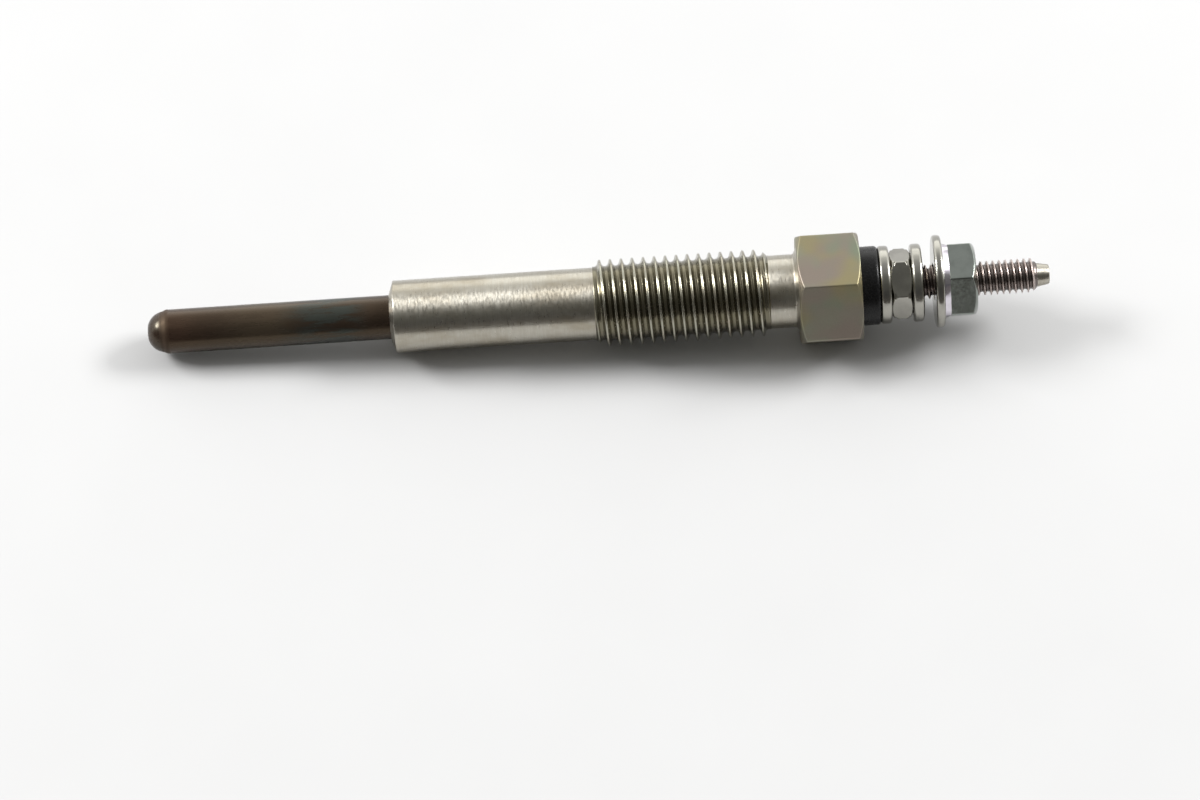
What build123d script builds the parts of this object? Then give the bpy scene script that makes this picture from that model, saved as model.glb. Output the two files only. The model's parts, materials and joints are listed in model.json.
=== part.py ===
from build123d import *
import math
import os

# Metal-sheathed diesel glow plug, in millimetres.
# Every piece is drawn on the plug's own axis, which is X: the closed tip of the glow tube is at x = 0
# and the threaded stud ends in +X. The last step lays the finished plug down as it rests on a table,
# on the nose corner of its barrel and on the front edge of one flat of its hexagon.
# The long thread is drawn as one ring-shaped ridge a pitch, the short ones at the diameter of their crests.

# Driving dimensions

# glow tube
sheath_diameter = 5.0
sheath_wall = 0.65
sheath_exposed = 27.5
sheath_seated = 15.0
tip_wall = 1.4
tip_flat_radius = 0.9
dome_length = 1.7
dome_bulge = 0.32
dome_base_diameter = 4.64
dome_bevel_length = 0.4

# heating and regulating coils
coil_diameter = 2.3
heating_wire = 0.36
heating_coil_pitch = 0.85
heating_turns = 7
heating_lead = 1.0
regulating_wire = 0.30
regulating_coil_pitch = 0.75
regulating_turns = 11
regulating_lead = 0.8
weld_lead = 0.6
bend_swell = 1.1

# housing
barrel_diameter = 8.2
barrel_length = 22.7
nose_cone_length = 0.5
nose_face_diameter = 5.3
thread_crest_diameter = 9.88
thread_length = 19.8
thread_start_chamfer = 0.75
thread_start_diameter = 8.4
thread_run_out = 0.8
thread_pitch = 1.25
thread_first_crest = 0.78
thread_crest_width = 0.15
thread_groove_angle = 60.0
thread_depth_share = 17 / 24
neck_diameter = 8.3
neck_length = 2.9
neck_cone_length = 0.35
neck_cone_base_diameter = 9.5
hex_across_flats = 12.0
hex_length = 7.1
hex_chamfer_circle = 11.85
main_bore_diameter = 5.6
counterbore_diameter = 7.0
counterbore_depth = 5.6
bore_mouth_chamfer = 0.3

# centre rod with its stud
rod_front_diameter = 2.9
rod_diameter = 3.45
rod_step_length = 0.6
stud_crest_diameter = 3.9
stud_thread_length = 18.9
stud_end_chamfer = 0.6
dog_point_length = 1.4
dog_point_base_diameter = 2.7
dog_point_end_diameter = 2.2
dog_point_edge_radius = 0.2

# seals and insulating bush
sheath_seal_length = 3.5
bush_flange_diameter = 8.95
bush_flange_length = 2.1
bush_edge_radius = 0.45

# washers and nuts
small_washer_diameter = 8.85
small_washer_thickness = 1.25
washer_bore_diameter = 4.3
washer_edge_radius = 0.35
fixing_nut_across_flats = 7.0
fixing_nut_thickness = 2.4
fixing_nut_face_diameter = 6.8
fixing_nut_shoulder_diameter = 7.7
fixing_nut_shoulder_length = 0.5
fixing_nut_turn = 25.0
bus_bar_gap = 1.3
terminal_washer_diameter = 10.5
terminal_washer_thickness = 1.0
terminal_nut_across_flats = 8.0
terminal_nut_thickness = 3.75
terminal_nut_chamfer_circle = 7.3
terminal_nut_collar_length = 0.7
terminal_nut_collar_diameter = 8.6
hexagon_chamfer_angle = 30.0
nut_bore_chamfer = 0.3

# clearances between pieces that fit in one another
press_clearance = 0.03
seal_clearance = 0.04
thread_clearance = 0.04
bush_clearance = 0.08
coil_clearance = 0.10
lead_clearance = 0.05
seat_setback = 1.0

# Stations along the axis, counted from the tip

nose_face_x = sheath_exposed
barrel_corner_x = nose_face_x + nose_cone_length
thread_start_x = barrel_corner_x + barrel_length
first_crest_x = thread_start_x + thread_first_crest
thread_end_x = thread_start_x + thread_length
run_out_x = thread_end_x - thread_run_out
neck_cone_x = thread_end_x + neck_length
hex_front_x = neck_cone_x + neck_cone_length
hex_rear_x = hex_front_x + hex_length
bush_face_x = hex_rear_x + bush_flange_length
fixing_nut_x = bush_face_x + small_washer_thickness
contact_washer_x = fixing_nut_x + fixing_nut_thickness
contact_face_x = contact_washer_x + small_washer_thickness
terminal_washer_x = contact_face_x + bus_bar_gap
terminal_nut_x = terminal_washer_x + terminal_washer_thickness
sheath_rear_x = sheath_exposed + sheath_seated
sheath_seal_x = sheath_rear_x - sheath_seal_length
sheath_seat_x = sheath_rear_x - seat_setback
rod_step_x = sheath_rear_x + seat_setback
stud_start_x = bush_face_x - seat_setback
stud_thread_end_x = stud_start_x + stud_thread_length
stud_end_x = stud_thread_end_x + dog_point_length
counterbore_x = hex_rear_x - counterbore_depth

heating_coil_x = tip_wall + heating_lead
heating_coil_end_x = heating_coil_x + heating_turns * heating_coil_pitch
weld_x = heating_coil_end_x + weld_lead
regulating_coil_x = weld_x + weld_lead
regulating_coil_end_x = regulating_coil_x + regulating_turns * regulating_coil_pitch
rod_nose_x = regulating_coil_end_x + regulating_lead

# Radii and sections that follow from the dimensions above

sheath_radius = sheath_diameter / 2
sheath_bore_radius = sheath_radius - sheath_wall
coil_radius = coil_diameter / 2
rod_front_radius = rod_front_diameter / 2
rod_radius = rod_diameter / 2
stud_radius = stud_crest_diameter / 2
nut_bore_radius = stud_radius + thread_clearance
barrel_radius = barrel_diameter / 2
thread_radius = thread_crest_diameter / 2
thread_slope = math.tan(math.radians(thread_groove_angle / 2))
thread_depth = thread_depth_share * thread_pitch / (2 * thread_slope)
thread_root_width = thread_pitch - thread_crest_width - 2 * thread_depth * thread_slope
ridge_count = math.ceil((run_out_x - first_crest_x) / thread_pitch)
counterbore_radius = counterbore_diameter / 2
body_seal_section = counterbore_radius - rod_radius - 2 * seal_clearance
bush_shank_x = counterbore_x + body_seal_section + seal_clearance
regulating_turn = 360.0 * heating_turns


def turned(points):
    """Revolve an outline of (station, radius) points about the plug's axis."""
    outline = [(station, 0, radius) for station, radius in points]
    return revolve(make_face(Polyline(*outline, close=True)), Axis.X, 360)


def tube(start, end, radius, bore_radius=0.0):
    """A plain cylinder or tube on the axis, between two stations."""
    return turned([(start, bore_radius), (start, radius), (end, radius), (end, bore_radius)])


def rims(solid, station, radius):
    """The circular edges of a solid at one station and radius."""
    circles = solid.edges().filter_by(GeomType.CIRCLE)
    at_radius = circles.filter_by(lambda edge: abs(edge.radius - radius) < 1e-4)
    return at_radius.filter_by(lambda edge: abs(edge.arc_center.X - station) < 1e-4)


def corner_radius(across_flats):
    """Distance from a hexagon's middle to its corners."""
    return across_flats / math.sqrt(3)


def hexagon_bar(start, end, across_flats, turn=0.0):
    """A hexagonal bar on the axis; at turn 0 one of its flats faces down."""
    plane = Plane(origin=(start, 0, 0), x_dir=(0, 1, 0), z_dir=(1, 0, 0))
    section = plane * Rotation(0, 0, turn) * RegularPolygon(corner_radius(across_flats), 6)
    return extrude(section, end - start)


def chamfer_depth(across_flats, circle):
    """Depth along the axis that a hexagon's end chamfer reaches at the corners."""
    return (corner_radius(across_flats) - circle / 2) * math.tan(math.radians(hexagon_chamfer_angle))


def tapped_hole(start, end):
    """Bore of a nut at its thread's crest diameter, countersunk at both ends."""
    mouth = nut_bore_radius + nut_bore_chamfer
    return turned(
        [
            (start, 0),
            (start, mouth),
            (start + nut_bore_chamfer, nut_bore_radius),
            (end - nut_bore_chamfer, nut_bore_radius),
            (end, mouth),
            (end, 0),
        ]
    )


def along_axis(start, length, radius, offset=0.0, turn=0.0):
    """A round bar parallel to the axis, held off it at an angle of turn."""
    bar = extrude(Plane.YZ * Pos(offset, 0, 0) * Circle(radius), length)
    return Rotation(turn, 0, 0) * Pos(start, 0, 0) * bar


def coil(start, turns, pitch, wire, front_lead, rear_lead, turn=0.0):
    """A helix of round wire, swollen at its two bends, where straight leads run on along the axis."""
    length = turns * pitch
    path = Helix(pitch, length, coil_radius, (start, 0, 0), (1, 0, 0))
    helix = sweep(Plane(origin=path @ 0, z_dir=path % 0) * Circle(wire / 2), path=path, is_frenet=True)
    first_angle = math.degrees(math.atan2((path @ 0).Z, (path @ 0).Y))
    last_angle = math.degrees(math.atan2((path @ 1).Z, (path @ 1).Y))
    leads = [
        along_axis(start - front_lead, front_lead, wire / 2, coil_radius, first_angle),
        along_axis(start + length, rear_lead, wire / 2, coil_radius, last_angle),
    ]
    bends = [Pos(*(path @ end)) * Sphere(bend_swell * wire / 2) for end in (0, 1)]
    return Rotation(turn - first_angle, 0, 0) * (helix + bends + leads)


def coil_pocket(start, end, wire):
    """Ring-shaped room in the powder for one coil."""
    room = wire / 2 + coil_clearance
    return tube(start - room, end + room, coil_radius + room, coil_radius - room)


def make_sheath_tube():
    """Glow tube: closed dome at the tip, small bevel, thin wall, open rear end."""
    bevel_x = dome_length + dome_bevel_length
    base_radius = dome_base_diameter / 2
    chord = Vector(dome_length, 0, base_radius - tip_flat_radius)
    outward = Vector(-chord.Z, 0, chord.X).normalized() * dome_bulge
    crown = Vector(0, 0, tip_flat_radius) + chord * 0.5 + outward
    dome = ThreePointArc((0, 0, tip_flat_radius), crown, (dome_length, 0, base_radius))
    walls = Polyline(
        (dome_length, 0, base_radius),
        (bevel_x, 0, sheath_radius),
        (sheath_rear_x, 0, sheath_radius),
        (sheath_rear_x, 0, sheath_bore_radius),
        (tip_wall, 0, sheath_bore_radius),
        (tip_wall, 0, 0),
        (0, 0, 0),
        (0, 0, tip_flat_radius),
    )
    return revolve(make_face(dome + walls), Axis.X, 360)


def make_heating_coil():
    """Heating coil, welded to the inside of the closed tip."""
    return coil(
        heating_coil_x,
        heating_turns,
        heating_coil_pitch,
        heating_wire,
        heating_lead,
        weld_lead,
    )


def make_regulating_coil():
    """Regulating coil, welded to the heating coil and to the nose of the rod."""
    return coil(
        regulating_coil_x,
        regulating_turns,
        regulating_coil_pitch,
        regulating_wire,
        weld_lead,
        regulating_lead,
        regulating_turn,
    )


def make_magnesia_filler():
    """Compacted powder that fills the tube around both coils and the front of the rod."""
    filler = tube(tip_wall, sheath_seal_x, sheath_bore_radius - press_clearance)
    rear_turn = regulating_turn + 360.0 * regulating_turns
    lead_room = max(heating_wire, regulating_wire) / 2 + lead_clearance
    rooms = [
        coil_pocket(heating_coil_x, heating_coil_end_x, heating_wire),
        coil_pocket(regulating_coil_x, regulating_coil_end_x, regulating_wire),
        along_axis(tip_wall, heating_lead, lead_room, coil_radius),
        along_axis(heating_coil_end_x, 2 * weld_lead, lead_room, coil_radius, regulating_turn),
        along_axis(regulating_coil_end_x, regulating_lead, lead_room, coil_radius, rear_turn),
        tube(rod_nose_x, sheath_seal_x, rod_front_radius + seal_clearance),
    ]
    return filler - rooms


def make_sheath_seal():
    """Rubber bush that closes the rear end of the glow tube around the rod."""
    radius = sheath_bore_radius - press_clearance
    return tube(sheath_seal_x, sheath_rear_x, radius, rod_front_radius + seal_clearance)


def make_centre_rod():
    """Electrode: thin front end, plain shank, M4 stud and its tapered dog point."""
    point_radius = dog_point_end_diameter / 2
    rod = turned(
        [
            (rod_nose_x, 0),
            (rod_nose_x, rod_front_radius),
            (rod_step_x, rod_front_radius),
            (rod_step_x + rod_step_length, rod_radius),
            (stud_start_x, rod_radius),
            (stud_start_x, stud_radius),
            (stud_thread_end_x - stud_end_chamfer, stud_radius),
            (stud_thread_end_x, dog_point_base_diameter / 2),
            (stud_end_x, point_radius),
            (stud_end_x, 0),
        ]
    )
    return fillet(rims(rod, stud_end_x, point_radius), dog_point_edge_radius)


def housing_blank():
    """Turned outside of the housing: nose, barrel, thread at its crests, neck."""
    return turned(
        [
            (nose_face_x, 0),
            (nose_face_x, nose_face_diameter / 2),
            (barrel_corner_x, barrel_radius),
            (thread_start_x, barrel_radius),
            (thread_start_x, thread_start_diameter / 2),
            (thread_start_x + thread_start_chamfer, thread_radius),
            (run_out_x, thread_radius),
            (thread_end_x, neck_diameter / 2),
            (neck_cone_x, neck_diameter / 2),
            (hex_front_x, neck_cone_base_diameter / 2),
            (hex_rear_x, neck_cone_base_diameter / 2),
            (hex_rear_x, 0),
        ]
    )


def thread_grooves():
    """Ring grooves behind each crest, which leave one ridge a pitch standing on the blank."""
    rim_radius = thread_radius + thread_crest_width / (2 * thread_slope)
    root_radius = thread_radius - thread_depth
    root_x = first_crest_x + (thread_pitch - thread_root_width) / 2
    groove = turned(
        [
            (first_crest_x, rim_radius),
            (root_x, root_radius),
            (root_x + thread_root_width, root_radius),
            (first_crest_x + thread_pitch, rim_radius),
        ]
    )
    return [Pos(ridge * thread_pitch, 0, 0) * groove for ridge in range(ridge_count)]


def housing_hexagon():
    """Hexagon of the housing with its chamfered corners."""
    corner = corner_radius(hex_across_flats)
    depth = chamfer_depth(hex_across_flats, hex_chamfer_circle)
    cones = turned(
        [
            (hex_front_x, 0),
            (hex_front_x, hex_chamfer_circle / 2),
            (hex_front_x + depth, corner),
            (hex_rear_x - depth, corner),
            (hex_rear_x, hex_chamfer_circle / 2),
            (hex_rear_x, 0),
        ]
    )
    return hexagon_bar(hex_front_x, hex_rear_x, hex_across_flats) & cones


def housing_bores():
    """Stepped bore: tube seat, main bore, counterbore for the seal and the bush."""
    return turned(
        [
            (nose_face_x, 0),
            (nose_face_x, sheath_radius + press_clearance),
            (sheath_seat_x, sheath_radius + press_clearance),
            (sheath_seat_x, main_bore_diameter / 2),
            (counterbore_x, main_bore_diameter / 2),
            (counterbore_x, counterbore_radius),
            (hex_rear_x - bore_mouth_chamfer, counterbore_radius),
            (hex_rear_x, counterbore_radius + bore_mouth_chamfer),
            (hex_rear_x, 0),
        ]
    )


def make_housing():
    """The one-piece steel body of the plug."""
    threaded_blank = housing_blank() - thread_grooves()
    return threaded_blank + housing_hexagon() - housing_bores()


def make_body_seal():
    """Rubber ring between the rod and the counterbore."""
    ring_x = counterbore_x + body_seal_section / 2
    ring_radius = (counterbore_radius + rod_radius) / 2
    section = Plane.XZ * Pos(ring_x, ring_radius) * Circle(body_seal_section / 2)
    return revolve(section, Axis.X, 360)


def make_insulating_bush():
    """Black bush: shank in the counterbore and a round-edged flange on the hexagon."""
    bore_radius = stud_radius + bush_clearance
    shank_radius = counterbore_radius - bush_clearance
    flange_radius = bush_flange_diameter / 2
    flange = tube(hex_rear_x, bush_face_x, flange_radius, bore_radius)
    flange = fillet(rims(flange, bush_face_x, flange_radius), bush_edge_radius)
    return flange + tube(bush_shank_x, hex_rear_x, shank_radius, bore_radius)


def make_washer(start, diameter, thickness):
    """Plain washer with rounded outer edges."""
    washer = tube(start, start + thickness, diameter / 2, washer_bore_diameter / 2)
    edges = rims(washer, start, diameter / 2) + rims(washer, start + thickness, diameter / 2)
    return fillet(edges, washer_edge_radius)


def make_fixing_nut():
    """Thin M4 nut whose corners are turned down to a round shoulder at both ends."""
    end_x = fixing_nut_x + fixing_nut_thickness
    face_radius = fixing_nut_face_diameter / 2
    shoulder_radius = fixing_nut_shoulder_diameter / 2
    corner = corner_radius(fixing_nut_across_flats)
    slope = math.tan(math.radians(hexagon_chamfer_angle))
    bevel = (shoulder_radius - face_radius) * slope
    crown = (corner - shoulder_radius) * slope
    blank = turned(
        [
            (fixing_nut_x, 0),
            (fixing_nut_x, face_radius),
            (fixing_nut_x + bevel, shoulder_radius),
            (fixing_nut_x + fixing_nut_shoulder_length, shoulder_radius),
            (fixing_nut_x + fixing_nut_shoulder_length + crown, corner),
            (end_x - fixing_nut_shoulder_length - crown, corner),
            (end_x - fixing_nut_shoulder_length, shoulder_radius),
            (end_x - bevel, shoulder_radius),
            (end_x, face_radius),
            (end_x, 0),
        ]
    )
    bar = hexagon_bar(fixing_nut_x, end_x, fixing_nut_across_flats, fixing_nut_turn)
    return (bar & blank) - tapped_hole(fixing_nut_x, end_x)


def make_terminal_nut():
    """M4 nut: round collar on the washer side, chamfered hexagon behind it."""
    end_x = terminal_nut_x + terminal_nut_thickness
    hexagon_x = terminal_nut_x + terminal_nut_collar_length
    corner = corner_radius(terminal_nut_across_flats)
    depth = chamfer_depth(terminal_nut_across_flats, terminal_nut_chamfer_circle)
    cones = turned(
        [
            (hexagon_x, 0),
            (hexagon_x, corner),
            (end_x - depth, corner),
            (end_x, terminal_nut_chamfer_circle / 2),
            (end_x, 0),
        ]
    )
    collar = turned(
        [
            (terminal_nut_x, 0),
            (terminal_nut_x, terminal_nut_collar_diameter / 2),
            (hexagon_x, terminal_nut_across_flats / 2),
            (hexagon_x, 0),
        ]
    )
    bar = hexagon_bar(hexagon_x, end_x, terminal_nut_across_flats)
    return (bar & cones) + collar - tapped_hole(terminal_nut_x, end_x)


def rest_tilt():
    """Angle of the axis when the plug lies on its barrel's nose and a flat of its hexagon."""
    flat_radius = hex_across_flats / 2
    slope = math.tan(math.radians(hexagon_chamfer_angle))
    flat_front_x = hex_front_x + max(0.0, flat_radius - hex_chamfer_circle / 2) * slope
    return math.degrees(math.atan2(flat_radius - barrel_radius, flat_front_x - barrel_corner_x))


def lay_down(tip_piece, end_piece):
    """Location that sets the plug on the table, centred over the origin."""
    turn_up = Rotation(0, -rest_tilt(), 0)
    contact = turn_up * Pos(barrel_corner_x, 0, -barrel_radius)
    low_x = (turn_up * tip_piece).bounding_box().min.X
    high_x = (turn_up * end_piece).bounding_box().max.X
    return Pos(-(low_x + high_x) / 2, 0, -contact.position.Z) * turn_up


def make_pieces():
    """All pieces of the plug on its own axis, by node name."""
    return {
        "housing": make_housing(),
        "sheath_tube": make_sheath_tube(),
        "heating_coil": make_heating_coil(),
        "regulating_coil": make_regulating_coil(),
        "magnesia_filler": make_magnesia_filler(),
        "sheath_seal": make_sheath_seal(),
        "centre_rod": make_centre_rod(),
        "body_seal": make_body_seal(),
        "insulating_bush": make_insulating_bush(),
        "bush_washer": make_washer(bush_face_x, small_washer_diameter, small_washer_thickness),
        "fixing_nut": make_fixing_nut(),
        "contact_washer": make_washer(
            contact_washer_x, small_washer_diameter, small_washer_thickness
        ),
        "terminal_washer": make_washer(
            terminal_washer_x, terminal_washer_diameter, terminal_washer_thickness
        ),
        "terminal_nut": make_terminal_nut(),
    }


def main():
    pieces = make_pieces()
    resting = lay_down(pieces["sheath_tube"], pieces["centre_rod"])
    os.makedirs("parts", exist_ok=True)
    for name, solid in pieces.items():
        export_step(resting * solid, f"parts/{name}.step")
    print("tilt of the axis, degrees:", round(rest_tilt(), 4))
    stations = {"tip": 0.0, "thread": thread_start_x, "hexagon": hex_front_x, "stud end": stud_end_x}
    for name, station in stations.items():
        point = (resting * Pos(station, 0, 0)).position
        print(name, "on the axis at", [round(value, 4) for value in point])


main()
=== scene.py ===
import json
import math

import bmesh
import bpy
import numpy as np
from bpy.props import FloatProperty, FloatVectorProperty, IntProperty, PointerProperty
from mathutils import Matrix, Vector


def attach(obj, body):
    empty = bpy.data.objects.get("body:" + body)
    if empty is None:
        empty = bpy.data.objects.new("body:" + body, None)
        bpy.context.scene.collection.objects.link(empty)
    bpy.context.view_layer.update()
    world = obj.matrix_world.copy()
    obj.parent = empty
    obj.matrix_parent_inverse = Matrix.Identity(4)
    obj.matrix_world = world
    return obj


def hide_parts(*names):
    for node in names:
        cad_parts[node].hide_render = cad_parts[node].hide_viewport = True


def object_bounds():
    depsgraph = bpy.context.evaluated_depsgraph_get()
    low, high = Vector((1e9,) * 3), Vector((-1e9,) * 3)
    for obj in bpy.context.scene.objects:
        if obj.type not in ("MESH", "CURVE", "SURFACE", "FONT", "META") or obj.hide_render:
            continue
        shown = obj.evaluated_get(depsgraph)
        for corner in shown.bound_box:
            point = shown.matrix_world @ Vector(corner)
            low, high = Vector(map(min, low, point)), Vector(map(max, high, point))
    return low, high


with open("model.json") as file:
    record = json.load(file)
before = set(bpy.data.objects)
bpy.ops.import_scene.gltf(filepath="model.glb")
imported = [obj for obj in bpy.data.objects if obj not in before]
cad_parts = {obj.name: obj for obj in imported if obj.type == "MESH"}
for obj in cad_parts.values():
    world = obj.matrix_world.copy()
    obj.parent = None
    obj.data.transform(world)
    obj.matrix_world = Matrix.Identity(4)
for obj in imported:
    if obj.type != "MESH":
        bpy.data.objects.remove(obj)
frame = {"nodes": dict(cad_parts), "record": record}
cad_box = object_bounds()

bl_info = {
    "name": "Diesel glow plug",
    "version": (1, 0, 0),
    "blender": (4, 5, 0),
    "location": "View3D > Sidebar > Glow plug",
    "description": "Dresses a packed diesel glow plug: threads, edges, finishes and stage",
    "category": "Add Mesh",
}

MM = 1e-3
MICRON = 1e-6
TURN = 2.0 * math.pi
SECTOR = TURN / 6


# Short forms of the properties

def length(name, description, millimetres):
    """A length property; its default is given in millimetres."""
    return FloatProperty(
        name=name,
        description=description,
        default=millimetres * MM,
        min=0.0,
        precision=5,
        unit="LENGTH",
        subtype="DISTANCE",
    )


def angle(name, description, degrees):
    """An angle property; its default is given in degrees."""
    return FloatProperty(
        name=name, description=description, default=math.radians(degrees), subtype="ANGLE"
    )


def colour(name, description, red, green, blue):
    """A colour property in scene-linear values."""
    return FloatVectorProperty(
        name=name,
        description=description,
        default=(red, green, blue),
        size=3,
        min=0.0,
        max=1.0,
        subtype="COLOR",
    )


def amount(name, description, value):
    """A plain positive number."""
    return FloatProperty(name=name, description=description, default=value, min=0.0)


class TubeSettings(bpy.types.PropertyGroup):
    """Glow tube."""

    wall: length("Wall", "Wall of the tube", 0.65)
    tip_wall: length("Tip wall", "Thickness of the closed tip", 1.4)
    tip_flat_radius: length("Tip flat radius", "Radius of the flat at the very tip", 0.9)
    dome_length: length("Dome length", "Length of the rounded tip", 1.7)
    dome_bulge: length("Dome bulge", "How far the tip's arc stands proud of its chord", 0.32)
    dome_base: length("Dome base", "Diameter where the rounded tip ends", 4.64)
    bevel_length: length("Bevel length", "Bevel between the tip and the full diameter", 0.4)


class HousingSettings(bpy.types.PropertyGroup):
    """Body with its barrel, thread, neck and hexagon."""

    nose_cone_length: length("Nose cone length", "Length of the cone at the nose", 0.5)
    nose_face: length("Nose face", "Diameter of the flat face at the nose", 5.3)
    barrel: length("Barrel diameter", "Diameter of the plain barrel", 8.2)
    barrel_length: length("Barrel length", "Length of the plain barrel", 22.7)
    thread_crest: length("Thread crest", "Diameter over the crests of the long thread", 9.88)
    thread_pitch: length("Thread pitch", "Pitch of the long thread", 1.25)
    thread_length: length("Thread length", "Length of the long thread", 19.8)
    thread_start: length("Thread start", "Diameter where the thread's first chamfer begins", 8.4)
    thread_chamfer: length("Thread chamfer", "Length of the chamfer before the first crest", 0.75)
    thread_run_out: length("Thread run-out", "Length over which the last crest fades", 0.8)
    first_crest: length("First crest", "First crest behind the thread's start", 0.78)
    neck: length("Neck diameter", "Diameter of the neck in front of the hexagon", 8.3)
    neck_length: length("Neck length", "Length of the neck", 2.9)
    neck_cone_length: length("Neck cone length", "Cone between the neck and the hexagon", 0.35)
    neck_cone_base: length("Neck cone base", "Largest diameter of that cone", 9.5)
    hexagon: length("Hexagon", "Size across the flats", 12.0)
    hexagon_face: length("Hexagon face", "Diameter of the round face at both ends", 11.85)
    hexagon_corner: length("Hexagon corner", "Rounding of the hexagon's corners", 0.22)
    tube_seat_depth: length("Tube seat depth", "Depth of the seat that holds the glow tube", 14.0)
    bore: length("Bore", "Diameter of the main bore", 5.6)
    counterbore: length("Counterbore", "Diameter of the counterbore for seal and bush", 7.0)
    counterbore_depth: length("Counterbore depth", "Depth of that counterbore", 5.6)
    mouth_chamfer: length("Mouth chamfer", "Chamfer at the counterbore's mouth", 0.3)
    press_clearance: length("Press clearance", "Room between the glow tube and its seat", 0.03)


class RodSettings(bpy.types.PropertyGroup):
    """Centre rod with its threaded stud."""

    front: length("Front diameter", "Diameter of the rod inside the glow tube", 2.9)
    shank: length("Shank diameter", "Diameter of the rod inside the housing", 3.45)
    step: length("Step length", "Cone between the two diameters", 0.6)
    step_setback: length("Step setback", "Gap between the glow tube's end and that cone", 1.0)
    thread_pitch: length("Stud pitch", "Pitch of the stud's thread", 0.7)
    thread_length: length("Stud thread length", "Length of the stud's thread", 18.9)
    first_crest: length("First crest", "First crest behind the thread's start", 0.7)
    start_chamfer: length("Start chamfer", "Length of the chamfer at the thread's start", 0.3)
    end_chamfer: length("End chamfer", "Length of the chamfer at the thread's end", 0.6)
    point_length: length("Point length", "Length of the tapered point", 1.4)
    point_base: length("Point base", "Diameter where the point begins", 2.7)
    point_end: length("Point end", "Diameter of the point's end face", 2.2)


class TerminalSettings(bpy.types.PropertyGroup):
    """Bush, washers and nuts on the stud."""

    washer_bore: length("Washer bore", "Bore of each washer", 4.3)
    washer_edge: length("Washer edge", "Rounding of the washers' outer edges", 0.4025)
    bush_edge: length("Bush edge", "Rounding of the bush's outer edge", 0.45)
    bush_flange_length: length("Bush flange", "Length of the bush's flange", 2.1)
    bush_shank: length("Bush shank", "Diameter of the bush inside the housing", 6.84)
    bush_bore: length("Bush bore", "Bore of the bush", 4.06)
    fixing_nut: length("Thin nut", "Size across the flats of the thin nut", 7.0)
    fixing_nut_face: length("Thin nut face", "Diameter of the thin nut's end faces", 6.8)
    fixing_nut_shoulder: length("Thin nut shoulder", "Diameter of its round shoulders", 7.7)
    fixing_nut_shoulder_length: length("Thin nut shoulder length", "Length of a shoulder", 0.5)
    fixing_nut_turn: angle("Thin nut turn", "Turn of the thin nut about the stud", 25.0)
    terminal_nut: length("Terminal nut", "Size across the flats of the terminal nut", 8.0)
    terminal_nut_face: length("Terminal nut face", "Diameter of its end face", 7.3)
    collar: length("Collar", "Largest diameter of the nut's collar", 8.6)
    collar_length: length("Collar length", "Length of the nut's collar", 0.7)
    nut_corner: length("Nut corner", "Rounding of the nuts' corners", 0.18)
    nut_bore: length("Nut bore", "Bore of the nuts", 3.98)
    nut_countersink: length("Nut countersink", "Chamfer at the mouths of a nut", 0.3)


class FinishSettings(bpy.types.PropertyGroup):
    """Colours of the finishes."""

    zinc: colour("Zinc", "Turned and zinc-plated steel", 0.45, 0.43, 0.375)
    zinc_shade: colour("Zinc shade", "Darker, browner patches of the plating", 0.34, 0.305, 0.24)
    hexagon: colour("Hexagon", "Plating on the hexagon's flats", 0.255, 0.255, 0.195)
    hexagon_yellow: colour("Hexagon yellow", "Yellow bloom on the flats", 0.285, 0.25, 0.145)
    hexagon_violet: colour("Hexagon violet", "Violet bloom on the flats", 0.26, 0.22, 0.185)
    hexagon_green: colour("Hexagon green", "Green bloom on the flats", 0.215, 0.25, 0.18)
    thread: colour("Thread", "Plating on the long thread", 0.37, 0.36, 0.30)
    # The root tone is partly darker plating and partly painted shade in the thread's roots
    thread_root_and_shade: colour("Thread root", "Darker plating in the thread's roots", 0.17, 0.155, 0.11)
    oxide: colour("Oxide", "Heat-tinted glow tube", 0.016, 0.011, 0.008)
    oxide_warm: colour("Oxide warm", "Tint of the gloss on the brown zones", 1.0, 0.74, 0.48)
    oxide_cool: colour("Oxide cool", "Tint of the gloss on grey zone and dome", 0.80, 0.84, 0.70)
    oxide_red: colour("Oxide red", "Reddish zones of the glow tube", 0.026, 0.013, 0.009)
    oxide_grey: colour("Oxide grey", "Greenish grey zone of the glow tube", 0.015, 0.017, 0.015)
    oxide_tan: colour("Oxide tan", "Lighter brown zone of the glow tube", 0.034, 0.027, 0.018)
    nickel: colour("Nickel", "Bright washers and thin nut", 0.38, 0.37, 0.33)
    nut: colour("Nut", "Plating of the terminal nut", 0.28, 0.305, 0.28)
    # The collar's bright lilac tone is a painted highlight: a lit copy of the nut's own plating
    collar: colour("Collar", "Bright collar of the terminal nut", 0.72, 0.68, 0.74)
    stud: colour("Stud", "Steel of the threaded stud", 0.50, 0.43, 0.40)
    bush: colour("Bush", "Black bush", 0.005, 0.005, 0.005)


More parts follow.
